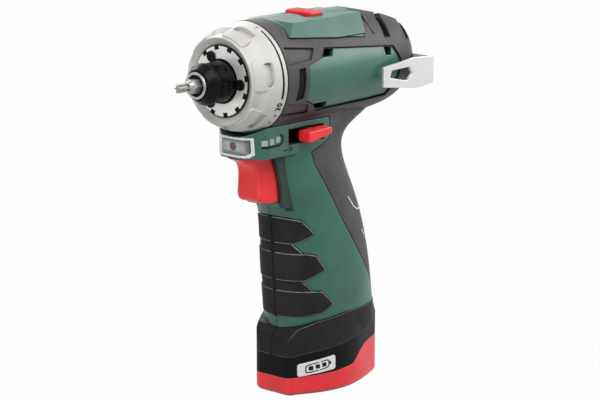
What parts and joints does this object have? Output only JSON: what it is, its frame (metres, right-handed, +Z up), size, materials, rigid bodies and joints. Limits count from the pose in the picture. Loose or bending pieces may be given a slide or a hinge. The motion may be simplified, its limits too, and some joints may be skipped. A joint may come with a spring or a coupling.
{
  "type": "cordless drill driver",
  "caption": "Compact pistol-grip cordless drill driver with a torque collar, planetary gearbox, trigger, belt hook and a slide-in battery.",
  "frame": {"origin": "centre of the battery's flat underside, below the spindle axis plane", "axes": "+Z up from the battery's underside, -Y along the spindle towards the bit, +X to the user's left"},
  "size_m": [0.0595, 0.1565, 0.1878],
  "materials": {
    "green_plastic": "fine grain",
    "soft_cover": "fine grain",
    "finger_rubber": "matt",
    "red_plastic": "satin",
    "collar_silver": "satin silver",
    "bright_steel": "bright",
    "spring_steel": "drawn wire",
    "black_steel": "blackened",
    "black_plastic": "satin",
    "case_metal": "cast",
    "bronze": "sintered",
    "copper": "enamelled wire",
    "motor_steel": "zinc plated",
    "magnet": "matt",
    "contact_metal": "tinned",
    "cell_wrap": "plastic wrap",
    "lamp_clear": "clear",
    "lamp_frame": "bright",
    "gauge_window": "translucent",
    "circuit_board": "lacquered",
    "label": "printed"
  },
  "bodies": {
    "housing": {"belt_hook": "bright_steel", "charge_windows": "gauge_window", "clutch_balls": "bright_steel", "clutch_plate": "bright_steel", "clutch_ring": "bright_steel", "clutch_spring": "spring_steel", "cover_left": "soft_cover", "cover_right": "soft_cover", "finger_pads_left": "finger_rubber", "finger_pads_right": "finger_rubber", "foot_left": "soft_cover", "foot_right": "soft_cover", "front_plate": "bright_steel", "gear_case": "case_metal", "housing_left": "green_plastic", "housing_right": "green_plastic", "housing_screws": "black_steel", "lamp_bezel": "lamp_frame", "lamp_board": "circuit_board", "lamp_lens": "lamp_clear", "lock_ring": "black_plastic", "motor_brushes": "magnet", "motor_bushes": "bronze", "motor_can": "motor_steel", "motor_end_cap": "black_plastic", "motor_magnets": "magnet", "plate_screws": "black_steel", "spindle_bush": "bronze", "switch_body": "black_plastic", "terminal_blades": "contact_metal", "terminal_block": "black_plastic", "trigger_spring": "spring_steel"},
    "rotor": {"motor_shaft": "bright_steel", "motor_core": "motor_steel", "motor_windings": "copper", "motor_commutator": "copper", "motor_fan": "black_plastic", "motor_pinion": "bright_steel"},
    "first_carrier": {"carrier": "bright_steel"},
    "planet_1a": {"planet_1a": "bright_steel"},
    "planet_1b": {"planet_1b": "bright_steel"},
    "planet_1c": {"planet_1c": "bright_steel"},
    "output_spindle": {"spindle": "black_steel", "tip_ring": "bright_steel"},
    "planet_2a": {"planet_2a": "bright_steel"},
    "planet_2b": {"planet_2b": "bright_steel"},
    "planet_2c": {"planet_2c": "bright_steel"},
    "driver_bit": {"bit": "bright_steel"},
    "collar": {"torque_collar": "collar_silver"},
    "nut": {"clutch_nut": "bright_steel"},
    "selector": {"gear_selector": "red_plastic", "shift_ring": "bright_steel"},
    "trigger": {"trigger": "red_plastic"},
    "direction": {"direction_button": "red_plastic"},
    "battery": {"battery_case": "black_plastic", "battery_base": "red_plastic", "battery_cells": "cell_wrap", "battery_contacts": "contact_metal", "battery_label": "label"},
    "latch": {"battery_latch": "red_plastic"}
  },
  "joints": [
    {"name": "rotor_spin", "type": "hinge", "parent": "housing", "child": "rotor", "pos_m": [0, -0.049, 0.16], "axis": [0, 1, 0], "continuous": true},
    {"name": "carrier_spin", "type": "hinge", "parent": "housing", "child": "first_carrier", "pos_m": [0, -0.049, 0.16], "axis": [0, 1, 0], "continuous": true},
    {"name": "planet_1a_spin", "type": "hinge", "parent": "first_carrier", "child": "planet_1a", "pos_m": [0, -0.049, 0.16975], "axis": [0, 1, 0], "continuous": true},
    {"name": "planet_1b_spin", "type": "hinge", "parent": "first_carrier", "child": "planet_1b", "pos_m": [-0.00844, -0.049, 0.15513], "axis": [0, 1, 0], "continuous": true},
    {"name": "planet_1c_spin", "type": "hinge", "parent": "first_carrier", "child": "planet_1c", "pos_m": [0.00844, -0.049, 0.15513], "axis": [0, 1, 0], "continuous": true},
    {"name": "spindle_spin", "type": "hinge", "parent": "housing", "child": "output_spindle", "pos_m": [0, -0.049, 0.16], "axis": [0, 1, 0], "continuous": true},
    {"name": "planet_2a_spin", "type": "hinge", "parent": "output_spindle", "child": "planet_2a", "pos_m": [0, -0.049, 0.16975], "axis": [0, 1, 0], "continuous": true},
    {"name": "planet_2b_spin", "type": "hinge", "parent": "output_spindle", "child": "planet_2b", "pos_m": [-0.00844, -0.049, 0.15513], "axis": [0, 1, 0], "continuous": true},
    {"name": "planet_2c_spin", "type": "hinge", "parent": "output_spindle", "child": "planet_2c", "pos_m": [0.00844, -0.049, 0.15513], "axis": [0, 1, 0], "continuous": true},
    {"name": "bit_pull", "type": "slide", "parent": "output_spindle", "child": "driver_bit", "axis": [0, -1, 0], "range_m": [0, 0.03]},
    {"name": "collar_turn", "type": "hinge", "parent": "housing", "child": "collar", "pos_m": [0, -0.049, 0.16], "axis": [0, 1, 0], "range_deg": [0, 300]},
    {"name": "nut_travel", "type": "slide", "parent": "collar", "child": "nut", "axis": [0, -1, 0], "range_m": [0, 0.0051], "deforming": ["clutch_spring"]},
    {"name": "gear_shift", "type": "slide", "parent": "housing", "child": "selector", "axis": [0, -1, 0], "range_m": [0, 0.004]},
    {"name": "trigger_press", "type": "slide", "parent": "housing", "child": "trigger", "axis": [0, 1, 0], "range_m": [0, 0.006], "stiffness_N_per_m": 600, "springref_m": -0.004, "deforming": ["trigger_spring"]},
    {"name": "direction_slide", "type": "slide", "parent": "housing", "child": "direction", "axis": [-1, 0, 0], "range_m": [0, 0.008]},
    {"name": "battery_slide", "type": "slide", "parent": "housing", "child": "battery", "axis": [0, 0.1392, -0.9903], "range_m": [0, 0.085]},
    {"name": "latch_press", "type": "slide", "parent": "battery", "child": "latch", "axis": [0, -1, 0], "range_m": [0, 0.002], "stiffness_N_per_m": 800, "springref_m": -0.002}
  ],
  "couplings": [
    {"joint": "carrier_spin", "follows": "rotor_spin", "ratio": 0.25},
    {"joint": "planet_1a_spin", "follows": "rotor_spin", "ratio": -0.75},
    {"joint": "planet_1b_spin", "follows": "rotor_spin", "ratio": -0.75},
    {"joint": "planet_1c_spin", "follows": "rotor_spin", "ratio": -0.75},
    {"joint": "spindle_spin", "follows": "rotor_spin", "ratio": 0.0625},
    {"joint": "planet_2a_spin", "follows": "rotor_spin", "ratio": -0.1875},
    {"joint": "planet_2b_spin", "follows": "rotor_spin", "ratio": -0.1875},
    {"joint": "planet_2c_spin", "follows": "rotor_spin", "ratio": -0.1875},
    {"joint": "nut_travel", "follows": "collar_turn", "m_per_rad": 0.00095493}
  ]
}
